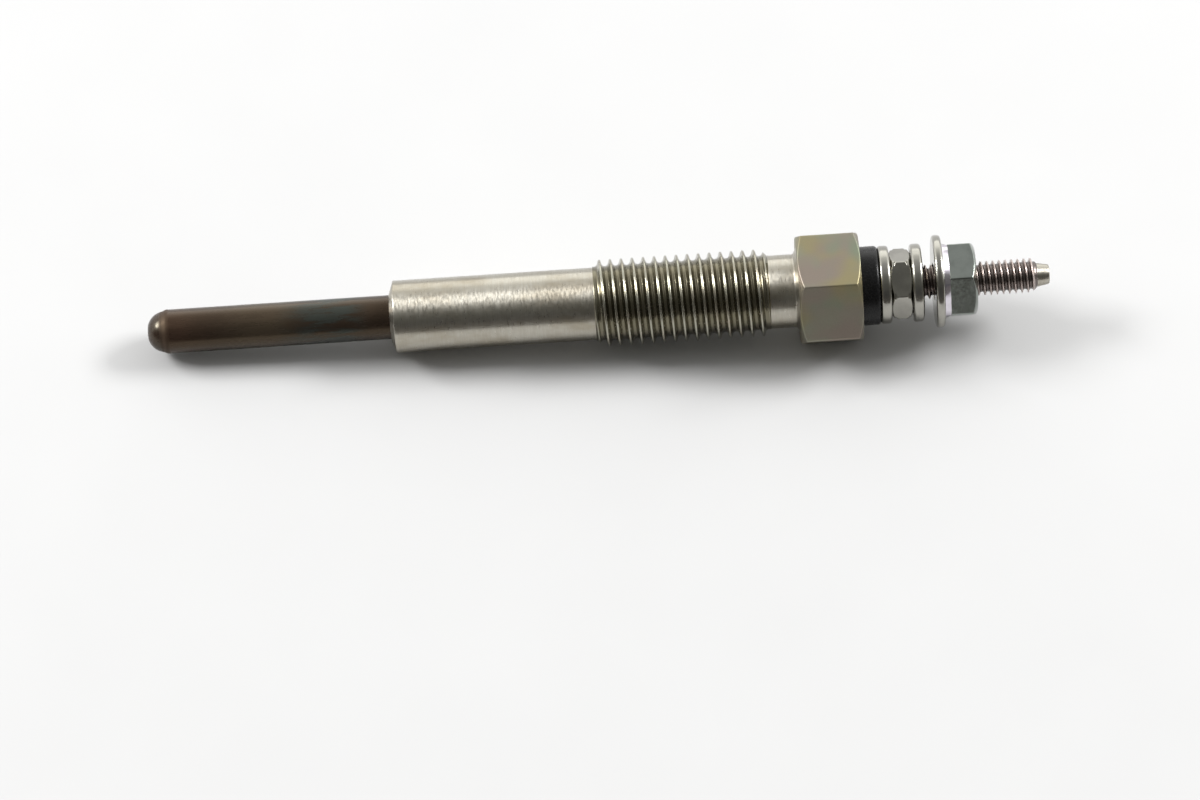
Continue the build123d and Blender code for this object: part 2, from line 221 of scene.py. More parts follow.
class StageSettings(bpy.types.PropertyGroup):
    """Camera, lamps, room and floor."""

    floor_size: length("Floor size", "Length of the floor's sides", 8000.0)
    floor: colour("Floor", "Darker tone of the pale floor", 0.50, 0.50, 0.50)
    floor_light: colour("Floor light", "Lighter tone of the pale floor", 0.52, 0.52, 0.52)
    camera_distance: length("Camera distance", "From the camera to the middle of the plug", 590.0)
    camera_elevation: angle("Camera elevation", "Camera above the horizon", 59.0)
    camera_azimuth: angle("Camera azimuth", "Camera round the plug; 0 looks along +Y", -2.93)
    camera_aim_drop: length("Aim drop", "How far below the plug's middle the camera aims", 11.5)
    camera_aim_right: length("Aim right", "How far right of the middle the camera aims", 0.18)
    camera_lens: amount("Focal length", "Focal length in millimetres", 156.45)
    lamp_aside: length("Lamp aside", "How far a lamp stands to the left or right", 520.0)
    lamp_behind: length("Lamp behind", "How far the lamps stand behind the plug", 170.0)
    lamp_height: length("Lamp height", "Height of the lamps above the floor", 420.0)
    lamp_width: length("Lamp width", "Longer side of a lamp", 280.0)
    lamp_depth: length("Lamp depth", "Shorter side of a lamp", 180.0)
    lamp_power: amount("Lamp power", "Power of each of the two lamps, in watts", 4.4)
    room_light: amount("Room light", "Strength of the room's light", 2.2)


class PlugSettings(bpy.types.PropertyGroup):
    """Everything that a user may change."""

    tube: PointerProperty(type=TubeSettings)
    housing: PointerProperty(type=HousingSettings)
    rod: PointerProperty(type=RodSettings)
    terminal: PointerProperty(type=TerminalSettings)
    finish: PointerProperty(type=FinishSettings)
    stage: PointerProperty(type=StageSettings)
    columns: IntProperty(
        name="Columns", description="Columns of a turned surface", default=256, min=24
    )


# The plug's own axis: X runs from the tip, where it is zero, to the stud

def plug_placement():
    """Where the plug's own axes stand in the frame, from the stud's mount and the tube's tip."""
    mounts = {mount["name"]: mount for mount in frame["record"]["mounts"]}
    stud = mounts["terminal_stud"]
    along = Vector(stud["axis"]).normalized()
    across = Vector((0.0, 1.0, 0.0))
    up = along.cross(across)
    turn = Matrix((along, across, up)).transposed()
    on_axis = Vector(stud["pos_m"])
    tube = frame["nodes"]["sheath_tube"].data
    tip = min((vertex.co - on_axis).dot(along) for vertex in tube.vertices)
    return Matrix.Translation(on_axis + tip * along) @ turn.to_4x4()


PLACEMENT = plug_placement()


def measured(node):
    """Front station, rear station and largest radius of a CAD node about the plug's axis."""
    to_axis = PLACEMENT.inverted()
    points = [to_axis @ vertex.co for vertex in frame["nodes"][node].data.vertices]
    stations = [point.x for point in points]
    return min(stations), max(stations), max(math.hypot(point.y, point.z) for point in points)


# Outlines and meshes

# A rounding takes at most this share of an edge, and rings this much further out support it
CUT_LIMIT = 0.4
SUPPORT_REACH = 1.25

# Added to an edge's length before a division, for the edges that have none
NO_LENGTH = 1e-12

# Axial length of a hexagon's end chamfer for each unit of radius that it takes off
CHAMFER_SLOPE = math.tan(math.radians(30.0))


def on_columns(value, count):
    """A number or a value for each column, as an array of columns."""
    return np.broadcast_to(np.asarray(value, float), (count,))


def softened(corners, count, closed=False, steps=3):
    """Outline of (station, radius, cut) corners as rings, each corner rounded over its cut."""
    points = np.array([[on_columns(value, count) for value in corner[:2]] for corner in corners])
    cuts = [corner[2] for corner in corners]
    total = len(corners)
    rings = []
    for index in range(total):
        here = points[index]
        if cuts[index] == 0.0 or (not closed and index in (0, total - 1)):
            rings.append(here)
            continue
        ahead = points[(index + 1) % total] - here
        behind = points[index - 1] - here
        ahead_length = np.hypot(*ahead) + NO_LENGTH
        behind_length = np.hypot(*behind) + NO_LENGTH

        # The corner becomes a curve that leaves one edge at into and joins the next at out
        into = here + behind * np.minimum(cuts[index] / behind_length, CUT_LIMIT)
        out = here + ahead * np.minimum(cuts[index] / ahead_length, CUT_LIMIT)
        rings.append(here + (into - here) * SUPPORT_REACH)
        for step in range(steps + 1):
            t = step / steps
            rings.append((1 - t) ** 2 * into + 2 * t * (1 - t) * here + t ** 2 * out)
        rings.append(here + (out - here) * SUPPORT_REACH)
    return rings


def column_angles(count):
    """Evenly spaced angles of the columns."""
    return np.arange(count) * (TURN / count)


# Columns at each corner of a hexagon, the angle they take to both sides, and that kept free
CORNER_COLUMNS = 10
CORNER_SPREAD = math.radians(2.6)
CORNER_ROOM = 1.1 * CORNER_SPREAD


def hexagon_angles(count, turn):
    """Column angles with extra columns at the six corners of a hexagon."""
    plain = column_angles(count)
    corners = turn + np.arange(6) * SECTOR
    offsets = np.linspace(-CORNER_SPREAD, CORNER_SPREAD, CORNER_COLUMNS)
    extra = (corners[:, None] + offsets[None, :]).ravel() % TURN
    near = np.min(np.abs((plain[:, None] - corners[None, :] + math.pi) % TURN - math.pi), axis=1)
    return np.sort(np.concatenate([plain[near > CORNER_ROOM], extra]))


def hexagon_reach(angles, across_flats, turn, corner_radius):
    """Distance from the axis to a hexagon with rounded corners, along each column."""
    half = SECTOR / 2
    from_corner = np.abs((angles - turn + half) % SECTOR - half)
    flat = across_flats / 2 / np.cos(half - from_corner)
    centre = (across_flats / 2 - corner_radius) / math.cos(half)
    touch = math.atan2(corner_radius * math.sin(half), centre + corner_radius * math.cos(half))
    under_root = np.maximum(corner_radius ** 2 - (centre * np.sin(from_corner)) ** 2, 0.0)
    rounded = centre * np.cos(from_corner) + np.sqrt(under_root)
    return np.where(from_corner < touch, rounded, flat)


# A thread's crest, flank and rounded root as shares of a pitch and of the depth, and the
# whole form from one crest to the next
THREAD_FLANK = (
    (0.000, 0.00),
    (0.060, 0.01),
    (0.090, 0.07),
    (0.130, 0.24),
    (0.190, 0.55),
    (0.265, 0.81),
    (0.370, 0.96),
)
THREAD_ROOT = (0.5, 1.0)
OTHER_FLANK = tuple((1.0 - place, depth) for place, depth in THREAD_FLANK[:0:-1])
THREAD_FORM = (*THREAD_FLANK, THREAD_ROOT, *OTHER_FLANK)

# Depth of a metric thread for a pitch of one
THREAD_DEPTH = 0.6134

# Side of the plug on which the first crest is counted: the upper edge in the camera's view
TOP_SIDE = math.radians(30.0)
SPARE_TURNS = 2


def thread_rings(angles, pitch, first_crest, limits):
    """Rings of a right-hand thread, kept inside the outline of its (station, radius) limits."""
    marks, most = zip(*limits)
    start, end, crest_radius = marks[0], marks[-1], max(most)
    phase = (angles - TOP_SIDE) / TURN
    turns_before = math.ceil(first_crest / pitch) + SPARE_TURNS
    origin = start + first_crest - turns_before * pitch
    turns = math.ceil((end - origin) / pitch) + SPARE_TURNS
    rings = []
    for turn in range(turns):
        for place, depth in THREAD_FORM:
            stations = np.clip(origin + (turn + place + phase) * pitch, start, end)
            radii = np.full(len(angles), crest_radius - depth * THREAD_DEPTH * pitch)
            rings.append(np.array([stations, np.minimum(radii, np.interp(stations, marks, most))]))
    return rings


def turned_mesh(name, angles, rings, thread=(), closing=(), closed=False):
    """Mesh of rings about the X axis. Those of a thread climb by a pitch a turn."""
    count = len(angles)
    first = len(rings)
    last = first + len(thread) - 1
    stations, radii = np.swapaxes(np.array([*rings, *thread, *closing]), 0, 1)
    points = np.stack([stations, radii * np.cos(angles), radii * np.sin(angles)], axis=-1)
    total = len(points)

    # Where the last column meets the first, a thread's ring goes on in the ring one pitch ahead
    across_seam = list(range(total))
    for ring in range(first, last + 1):
        across_seam[ring] = min(ring + len(THREAD_FORM), last)
    faces = []
    for ring in range(total if closed else total - 1):
        following = (ring + 1) % total
        here, there = ring * count, following * count
        faces += [(here + c, there + c, there + c + 1, here + c + 1) for c in range(count - 1)]
        end = count - 1
        seam_here, seam_there = across_seam[ring] * count, across_seam[following] * count
        faces.append((here + end, there + end, seam_there, seam_here))
    mesh = bpy.data.meshes.new(name)
    mesh.from_pydata(points.reshape(-1, 3).tolist(), [], faces)
    return mesh


def ring_mesh(name, angles, corners, steps=3):
    """Mesh of a closed outline, given by its corners, softened and turned about the X axis."""
    rings = softened(corners, len(angles), closed=True, steps=steps)
    return turned_mesh(name, angles, rings, closed=True)


# Points closer than the first become one, and edges shorter than the second go
MERGE_DISTANCE = 0.2 * MICRON
SHORTEST_EDGE = 0.01 * MICRON


def tidy_mesh(mesh):
    """Merge the points that fall together, turn all faces outwards and shade them smooth."""
    work = bmesh.new()
    work.from_mesh(mesh)
    bmesh.ops.remove_doubles(work, verts=work.verts, dist=MERGE_DISTANCE)
    bmesh.ops.dissolve_degenerate(work, edges=work.edges, dist=SHORTEST_EDGE)
    bmesh.ops.recalc_face_normals(work, faces=work.faces)
    work.to_mesh(mesh)
    work.free()
    mesh.shade_smooth()


def add_piece(mesh, node, materials, zone=None):
    """Put a mesh drawn on the plug's axis in the place of a CAD node.

    zone gives the place in materials for a face centre's (station, distance from the axis).
    """
    tidy_mesh(mesh)
    for material in materials:
        mesh.materials.append(material)
    if zone:
        for polygon in mesh.polygons:
            centre = polygon.center
            polygon.material_index = zone(centre.x, math.hypot(centre.y, centre.z))
    mesh.transform(PLACEMENT)
    piece = bpy.data.objects.new(mesh.name, mesh)
    bpy.context.scene.collection.objects.link(piece)
    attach(piece, "root")
    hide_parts(node)


# Materials

# Most of a noise's values lie between these
NOISE_LOW = 0.3
NOISE_HIGH = 0.7


class Nodes:
    """A node tree under construction, with short ways to add its nodes."""

    def __init__(self, tree):
        self.tree = tree

    def add(self, kind, inputs=None, **settings):
        """A node with its settings, and with its inputs set or linked."""
        node = self.tree.nodes.new(kind)
        for name, value in settings.items():
            setattr(node, name, value)
        for place, value in (inputs or {}).items():
            self.feed(node.inputs[place], value)
        return node

    def feed(self, socket, value):
        """Link an output to a socket, or set the socket's own value."""
        if isinstance(value, bpy.types.NodeSocket):
            self.tree.links.new(value, socket)
        elif isinstance(value, (tuple, list)) and len(value) == 3 and socket.type == "RGBA":
            socket.default_value = (*value, 1.0)
        else:
            socket.default_value = value

    def ramp(self, source, low, high, to_low=0.0, to_high=1.0):
        """A smooth step of a source from one range to another."""
        span = {"From Min": low, "From Max": high, "To Min": to_low, "To Max": to_high}
        inputs = {"Value": source, **span}
        node = self.add("ShaderNodeMapRange", inputs, interpolation_type="SMOOTHSTEP")
        return node.outputs["Result"]

    def varied(self, noise, low, high):
        """A value that goes from low to high with a noise."""
        return self.ramp(noise, NOISE_LOW, NOISE_HIGH, low, high)

    def between(self, source, low, full, still_full, high):
        """A share that rises from low to full and falls again from still_full to high."""
        rise = self.ramp(source, low, full)
        return self.product(rise, self.ramp(source, high, still_full))

    def product(self, first, second):
        """Two values multiplied."""
        return self.calculate("MULTIPLY", first, second)

    def calculate(self, operation, first, second=0.0):
        """Result of an operation on one or two values."""
        return self.add("ShaderNodeMath", {0: first, 1: second}, operation=operation).outputs[0]

    def vector(self, operation, first, second=(0.0, 0.0, 0.0)):
        """Node of an operation on one or two vectors."""
        return self.add("ShaderNodeVectorMath", {0: first, 1: second}, operation=operation)

    def mix(self, factor, first, second):
        """Colour between a first one, at factor 0, and a second one, at factor 1."""
        inputs = {0: factor, 6: first, 7: second}
        return self.add("ShaderNodeMix", inputs, data_type="RGBA").outputs[2]

    def tinted(self, degrees, stops):
        """Colour that changes with an angle. Each stop is (degrees, red, green, blue)."""
        share = self.calculate("DIVIDE", degrees, 180.0)
        node = self.add("ShaderNodeValToRGB", {"Fac": share})
        ramp = node.color_ramp
        ramp.interpolation = "EASE"
        for element, (place, *tone) in zip(ramp.elements, (stops[0], stops[-1])):
            element.position = place / 180.0
            element.color = (*tone, 1.0)
        for place, *tone in stops[1:-1]:
            ramp.elements.new(place / 180.0).color = (*tone, 1.0)
        return node.outputs["Color"]


class Finish(Nodes):
    """A node material under construction."""

    def __init__(self, name):
        self.material = bpy.data.materials.new(name)
        self.material.use_nodes = True
        super().__init__(self.material.node_tree)
        self.in_object = self.add("ShaderNodeTexCoord").outputs["Object"]
        back = PLACEMENT.inverted()
        inputs = {
            "Vector": self.in_object,
            "Location": back.translation,
            "Rotation": back.to_euler(),
        }
        self.place = self.add("ShaderNodeMapping", inputs).outputs["Vector"]

    def surface(self, **inputs):
        """Set or link the shader's sockets, with spaces for underscores in their names."""
        shader = self.tree.nodes["Principled BSDF"]
        for name, value in inputs.items():
            self.feed(shader.inputs[name.replace("_", " ")], value)

    def stretched(self, scale):
        """Place in the plug's own axes, scaled along each."""
        inputs = {"Vector": self.place, "Scale": scale}
        return self.add("ShaderNodeMapping", inputs).outputs["Vector"]

    def noise(self, scale, detail, roughness):
        """Noise whose scale, in features a metre, is set for each axis."""
        place = {"Vector": self.stretched(scale), "Scale": 1.0}
        inputs = {**place, "Detail": detail, "Roughness": roughness}
        return self.add("ShaderNodeTexNoise", inputs).outputs["Fac"]

    def station(self):
        """Distance from the tip along the plug's axis."""
        return self.add("ShaderNodeSeparateXYZ", {0: self.place}).outputs["X"]

    def off_axis(self):
        """Distance from the plug's axis."""
        return self.vector("LENGTH", self.stretched((0.0, 1.0, 1.0))).outputs["Value"]

    def finished(self, height, relief, **inputs):
        """The material, with its shader's inputs set and a bump as high as relief."""
        bump = {"Height": height, "Distance": relief, "Strength": 1.0}
        self.surface(Normal=self.add("ShaderNodeBump", bump).outputs["Normal"], **inputs)
        return self.material

    def around_axis(self):
        """Direction round the plug's axis, in which a lathe leaves its marks."""
        off_axis = self.vector("SUBTRACT", self.in_object, PLACEMENT.translation).outputs[0]
        around = self.vector("CROSS_PRODUCT", PLACEMENT.col[0].xyz, off_axis).outputs[0]
        spaces = {"convert_from": "OBJECT", "convert_to": "WORLD"}
        return self.add("ShaderNodeVectorTransform", {0: around}, **spaces).outputs[0]


def tones(settings, *names):
    """Colours of a settings group as plain tuples."""
    return [tuple(getattr(settings, name)) for name in names]


def turned_zinc(name, finish, roughness=0.34, anisotropy=0.84):
    """Turned steel with satin zinc, whose lathe marks stretch the highlights."""
    zinc, shade = tones(finish, "zinc", "zinc_shade")
    made = Finish(name)
    patches = made.noise((140.0, 300.0, 300.0), 4.0, 0.6)
    marks = made.noise((9000.0, 420.0, 420.0), 2.0, 0.6)
    sparkle = made.noise((5200.0, 1500.0, 1500.0), 2.0, 0.6)
    base = made.mix(made.ramp(patches, 0.40, 0.72), zinc, shade)
    return made.finished(
        made.calculate("ADD", made.product(marks, 0.6), sparkle),
        5.5 * MICRON,
        Base_Color=made.mix(made.ramp(marks, 0.62, 0.40, 0.0, 0.30), base, shade),
        Metallic=1.0,
        Roughness=made.varied(sparkle, roughness * 0.80, roughness * 1.20),
        Anisotropic=anisotropy,
        Anisotropic_Rotation=0.25,
        Tangent=made.around_axis(),
    )


def threaded_zinc(name, finish, settings):
    """Zinc on a rolled thread, darker and browner towards the roots: thinner plating there, and
    painted shade in the roots.
    """
    zinc, shade, root = tones(finish, "thread", "zinc_shade", "thread_root_and_shade")
    made = Finish(name)
    crest = settings.thread_crest / 2
    depth = THREAD_DEPTH * settings.thread_pitch
    # Towards the roots the colour goes to the root tone, which holds painted shade as well as
    # darker plating
    crest_share = made.ramp(made.off_axis(), crest - 0.98 * depth, crest - 0.55 * depth)
    patches = made.noise((300.0, 500.0, 500.0), 4.0, 0.6)
    marks = made.noise((3000.0, 900.0, 900.0), 2.0, 0.6)
    base = made.mix(made.ramp(patches, 0.40, 0.75), zinc, shade)
    return made.finished(
        marks,
        4.0 * MICRON,
        Base_Color=made.mix(crest_share, root, base),
        Metallic=1.0,
        Roughness=made.varied(marks, 0.16, 0.28),
    )


def hexagon_zinc(name, finish):
    """Zinc with a faint passivation bloom of yellow, violet and green."""
    base, yellow, violet, green = tones(
        finish, "hexagon", "hexagon_yellow", "hexagon_violet", "hexagon_green"
    )
    made = Finish(name)
    clouds = made.noise((150.0, 140.0, 140.0), 2.0, 0.5)
    veils = made.noise((110.0, 190.0, 160.0), 2.0, 0.5)
    blooms = made.noise((200.0, 150.0, 190.0), 2.0, 0.5)
    grain = made.noise((6000.0, 6000.0, 6000.0), 3.0, 0.7)
    bloomed = made.mix(made.ramp(clouds, 0.42, 0.68), base, yellow)
    bloomed = made.mix(made.ramp(veils, 0.46, 0.70), bloomed, violet)
    bloomed = made.mix(made.ramp(blooms, 0.48, 0.72), bloomed, green)
    return made.finished(
        grain,
        3.0 * MICRON,
        Base_Color=bloomed,
        Metallic=1.0,
        Roughness=made.varied(grain, 0.38, 0.52),
    )


def heat_tinted(name, finish):
    """Nickel alloy with a brown heat oxide whose tint changes along the tube."""
    oxide, red, grey, tan = tones(finish, "oxide", "oxide_red", "oxide_grey", "oxide_tan")
    warm, cool = tones(finish, "oxide_warm", "oxide_cool")
    made = Finish(name)
    station = made.station()
    clouds = made.noise((220.0, 420.0, 420.0), 4.0, 0.6)
    streaks = made.noise((260.0, 1400.0, 1400.0), 3.0, 0.6)
    near_tip = made.ramp(station, 9.0 * MM, 2.0 * MM)
    dome = made.ramp(station, 1.8 * MM, 1.2 * MM)
    dull_bevel = made.between(station, 1.3 * MM, 1.6 * MM, 2.2 * MM, 2.6 * MM)
    tan_zone = made.between(station, 7.0 * MM, 13.0 * MM, 15.0 * MM, 19.0 * MM)
    grey_zone = made.between(station, 14.0 * MM, 19.0 * MM, 22.5 * MM, 25.5 * MM)
    base = made.mix(made.product(near_tip, clouds), oxide, red)
    base = made.mix(made.product(tan_zone, clouds), base, tan)
    grey_share = made.product(grey_zone, made.ramp(streaks, 0.35, 0.6))
    base = made.mix(grey_share, base, grey)
    cool_share = made.calculate("MAXIMUM", grey_share, made.product(dome, 0.6))
    roughness = made.varied(streaks, 0.20, 0.32)
    return made.finished(
        streaks,
        3.0 * MICRON,
        Base_Color=base,
        Metallic=0.0,
        Roughness=made.calculate("ADD", roughness, made.product(dull_bevel, 0.28)),
        IOR=1.52,
        Specular_Tint=made.mix(cool_share, warm, cool),
    )


def bright_plating(name, tone, roughness=0.16):
    """Bright zinc or nickel with a fine orange-peel grain."""
    made = Finish(name)
    grain = made.noise((2600.0, 2600.0, 2600.0), 3.0, 0.6)
    clouds = made.noise((500.0, 500.0, 500.0), 2.0, 0.5)
    darker = tuple(0.82 * value for value in tone)
    return made.finished(
        grain,
        3.0 * MICRON,
        Base_Color=made.mix(made.ramp(clouds, 0.4, 0.75), tone, darker),
        Metallic=1.0,
        Roughness=made.varied(grain, roughness * 0.8, roughness * 1.25),
    )


def stud_steel(name, finish, settings):
    """Rolled stud thread of warm, slightly dull steel."""
    (stud,) = tones(finish, "stud")
    made = Finish(name)
    grain = made.noise((3000.0, 2000.0, 2000.0), 3.0, 0.6)
    crest = measured("centre_rod")[2]
    depth = THREAD_DEPTH * settings.thread_pitch
    crest_share = made.ramp(made.off_axis(), crest - depth, crest - 0.2 * depth)
    # The steel is darker towards the thread's roots
    root = tuple(0.30 * value for value in stud)
    return made.finished(
        grain,
        3.0 * MICRON,
        Base_Color=made.mix(crest_share, root, stud),
        Metallic=1.0,
        Roughness=made.varied(grain, 0.22, 0.36),
    )


def moulded_black(name, finish):
    """Black moulded resin with a satin skin."""
    (black,) = tones(finish, "bush")
    made = Finish(name)
    grain = made.noise((4500.0, 4500.0, 4500.0), 3.0, 0.6)
    lighter = tuple(2.2 * value for value in black)
    return made.finished(
        grain,
        4.0 * MICRON,
        Base_Color=made.mix(made.ramp(grain, 0.45, 0.75), black, lighter),
        Metallic=0.0,
        Roughness=made.varied(grain, 0.22, 0.36),
        Specular_IOR_Level=0.20,
    )


def plain_grain(name, first, second, metallic, roughness, scale):
    """Grained finish of an inner part."""
    made = Finish(name)
    grain = made.noise((scale, scale, scale), 3.0, 0.6)
    return made.finished(
        grain,
        4.0 * MICRON,
        Base_Color=made.mix(made.ramp(grain, 0.35, 0.65), first, second),
        Metallic=metallic,
        Roughness=made.varied(grain, roughness * 0.8, roughness * 1.2),
    )


# Pieces

class GLOWPLUG_OT_tube(bpy.types.Operator):
    """Closed glow tube with its rounded, heat-tinted tip"""

    bl_idname = "glowplug.tube"
    bl_label = "Glow tube"

    def execute(self, context):
        plug = context.scene.glow_plug
        tube = plug.tube
        front, rear, radius = measured("sheath_tube")
        bore = radius - tube.wall
        base = tube.dome_base / 2
        count = plug.columns
        chord = Vector((tube.dome_length, base - tube.tip_flat_radius))
        outward = Vector((-chord.y, chord.x)).normalized() * tube.dome_bulge
        start = Vector((front, tube.tip_flat_radius))
        dome = []
        steps = 16
        for step in range(1, steps):
            t = step / steps
            point = start + chord * t + outward * (4.0 * t * (1.0 - t))
            dome.append((point.x, point.y, 0.0))
        corners = [
            (front, 0.0, 0.0),
            (front, tube.tip_flat_radius, 0.12 * MM),
            *dome,
            (front + tube.dome_length, base, 0.05 * MM),
            (front + tube.dome_length + tube.bevel_length, radius, 0.12 * MM),
            (rear, radius, 0.05 * MM),
            (rear, bore, 0.05 * MM),
            (front + tube.tip_wall, bore, 0.1 * MM),
            (front + tube.tip_wall, 0.0, 0.0),
        ]
        rings = softened(corners, count)
        mesh = turned_mesh("glow_tube", column_angles(count), rings)
        add_piece(mesh, "sheath_tube", [heat_tinted("heat_tinted_alloy", plug.finish)])
        return {"FINISHED"}


class GLOWPLUG_OT_housing(bpy.types.Operator):
    """Turned body: nose, barrel, long thread, neck, hexagon and bores"""

    bl_idname = "glowplug.housing"
    bl_label = "Housing"

    def execute(self, context):
        plug = context.scene.glow_plug
        body = plug.housing
        front, rear, _ = measured("housing")
        tube_radius = measured("sheath_tube")[2]
        angles = hexagon_angles(plug.columns, 0.0)
        count = len(angles)
        fine = 0.05 * MM
        nose_end = front + body.nose_cone_length
        thread_start = nose_end + body.barrel_length
        thread_end = thread_start + body.thread_length
        cone_start = thread_end + body.neck_length
        hex_front = cone_start + body.neck_cone_length
        barrel, neck, crest = body.barrel / 2, body.neck / 2, body.thread_crest / 2
        first = body.thread_start / 2
        limits = (
            (thread_start, first),
            (thread_start + body.thread_chamfer, crest),
            (thread_end - body.thread_run_out, crest),
            (thread_end, neck),
        )
        seat = tube_radius + body.press_clearance
        bore, wide = body.bore / 2, body.counterbore / 2
        before = [
            (front, seat, fine),
            (front, body.nose_face / 2, fine),
            (nose_end, barrel, 0.10 * MM),
            (thread_start, barrel, 0.03 * MM),
        ]
        face = body.hexagon_face / 2
        reach = hexagon_reach(angles, body.hexagon, 0.0, body.hexagon_corner)
        bevel = (reach - face) * CHAMFER_SLOPE
        after = [
            (thread_end, neck, 0.0),
            (thread_end + fine, neck, 0.0),
            (cone_start, neck, 0.12 * MM),
            (hex_front, body.neck_cone_base / 2, 0.08 * MM),
            (hex_front, face, 0.06 * MM),
            (hex_front + bevel, reach, 0.09 * MM),
            (rear - bevel, reach, 0.09 * MM),
            (rear, face, 0.06 * MM),
            (rear, wide + body.mouth_chamfer, fine),
            (rear - body.mouth_chamfer, wide, fine),
            (rear - body.counterbore_depth, wide, fine),
            (rear - body.counterbore_depth, bore, fine),
            (front + body.tube_seat_depth, bore, fine),
            (front + body.tube_seat_depth, seat, fine),
        ]
        step = (thread_start, first, 0.0)
        opening = softened([after[-1], *before, step], count)[1:-1]
        thread = thread_rings(angles, body.thread_pitch, body.first_crest, limits)
        closing = softened([*after, before[0]], count)[1:-1]
        mesh = turned_mesh("plug_body", angles, opening, thread, closing, closed=True)
        root = crest - 1.1 * THREAD_DEPTH * body.thread_pitch

        def zone(station, reach_here):
            if thread_start < station < thread_end and reach_here > root:
                return 1
            if station > hex_front - MICRON and reach_here > neck:
                return 2
            return 0

        finishes = [
            turned_zinc("turned_zinc", plug.finish),
            threaded_zinc("threaded_zinc", plug.finish, body),
            hexagon_zinc("hexagon_zinc", plug.finish),
        ]
        add_piece(mesh, "housing", finishes, zone)
        return {"FINISHED"}


class GLOWPLUG_OT_rod(bpy.types.Operator):
    """Centre rod with its threaded stud and tapered point"""

    bl_idname = "glowplug.rod"
    bl_label = "Centre rod"

    def execute(self, context):
        plug = context.scene.glow_plug
        rod = plug.rod
        front, rear, crest = measured("centre_rod")
        tube_rear = measured("sheath_tube")[1]
        count = plug.columns // 2
        angles = column_angles(count)
        thread_end = rear - rod.point_length
        thread_start = thread_end - rod.thread_length
        step_start = tube_rear + rod.step_setback
        shank = rod.shank / 2
        base = rod.point_base / 2
        limits = (
            (thread_start, shank),
            (thread_start + rod.start_chamfer, crest),
            (thread_end - rod.end_chamfer, crest),
            (thread_end, base),
        )
        thread = thread_rings(angles, rod.thread_pitch, rod.first_crest, limits)
        before = [
            (front, 0.0, 0.0),
            (front, rod.front / 2, 0.05 * MM),
            (step_start, rod.front / 2, 0.1 * MM),
            (step_start + rod.step, shank, 0.1 * MM),
            (thread_start, shank, 0.0),
        ]
        taper = (base - rod.point_end / 2) / rod.point_length
        after = [
            (thread_end, base, 0.0),
            (thread_end + 0.05 * MM, base - 0.05 * MM * taper, 0.0),
            (rear, rod.point_end / 2, 0.2 * MM),
            (rear, 0.0, 0.0),
        ]
        opening = softened(before, count)[:-1]
        closing = softened(after, count, steps=6)[1:]
        mesh = turned_mesh("terminal_stud", angles, opening, thread, closing)
        finishes = [
            stud_steel("stud_steel", plug.finish, rod),
            turned_zinc("turned_point", plug.finish),
        ]
        add_piece(mesh, "centre_rod", finishes, lambda station, _: int(station > thread_end))
        return {"FINISHED"}


class GLOWPLUG_OT_bush(bpy.types.Operator):
    """Black insulating bush between the hexagon and its washer"""

    bl_idname = "glowplug.bush"
    bl_label = "Insulating bush"

    def execute(self, context):
        plug = context.scene.glow_plug
        terminal = plug.terminal
        front, rear, radius = measured("insulating_bush")
        flange_front = rear - terminal.bush_flange_length
        bore, shank = terminal.bush_bore / 2, terminal.bush_shank / 2
        fine = 0.06 * MM
        corners = [
            (front, bore, fine),
            (front, shank, fine),
            (flange_front, shank, fine),
            (flange_front, radius, fine),
            (rear, radius, terminal.bush_edge),
            (rear, bore, fine),
        ]
        mesh = ring_mesh("black_bush", column_angles(plug.columns), corners, steps=6)
        add_piece(mesh, "insulating_bush", [moulded_black("moulded_black", plug.finish)])
        return {"FINISHED"}


class GLOWPLUG_OT_washers(bpy.types.Operator):
    """The three plain washers on the stud"""

    bl_idname = "glowplug.washers"
    bl_label = "Washers"

    def execute(self, context):
        plug = context.scene.glow_plug
        terminal = plug.terminal
        bright = bright_plating("bright_plating", tuple(plug.finish.nickel))
        bore = terminal.washer_bore / 2
        fine = 0.05 * MM
        for node in ("bush_washer", "contact_washer", "terminal_washer"):
            front, rear, radius = measured(node)
            corners = [
                (front, bore, fine),
                (front, radius, terminal.washer_edge),
                (rear, radius, terminal.washer_edge),
                (rear, bore, fine),
            ]
            mesh = ring_mesh(f"plated_{node}", column_angles(plug.columns), corners, steps=6)
            add_piece(mesh, node, [bright])
        return {"FINISHED"}


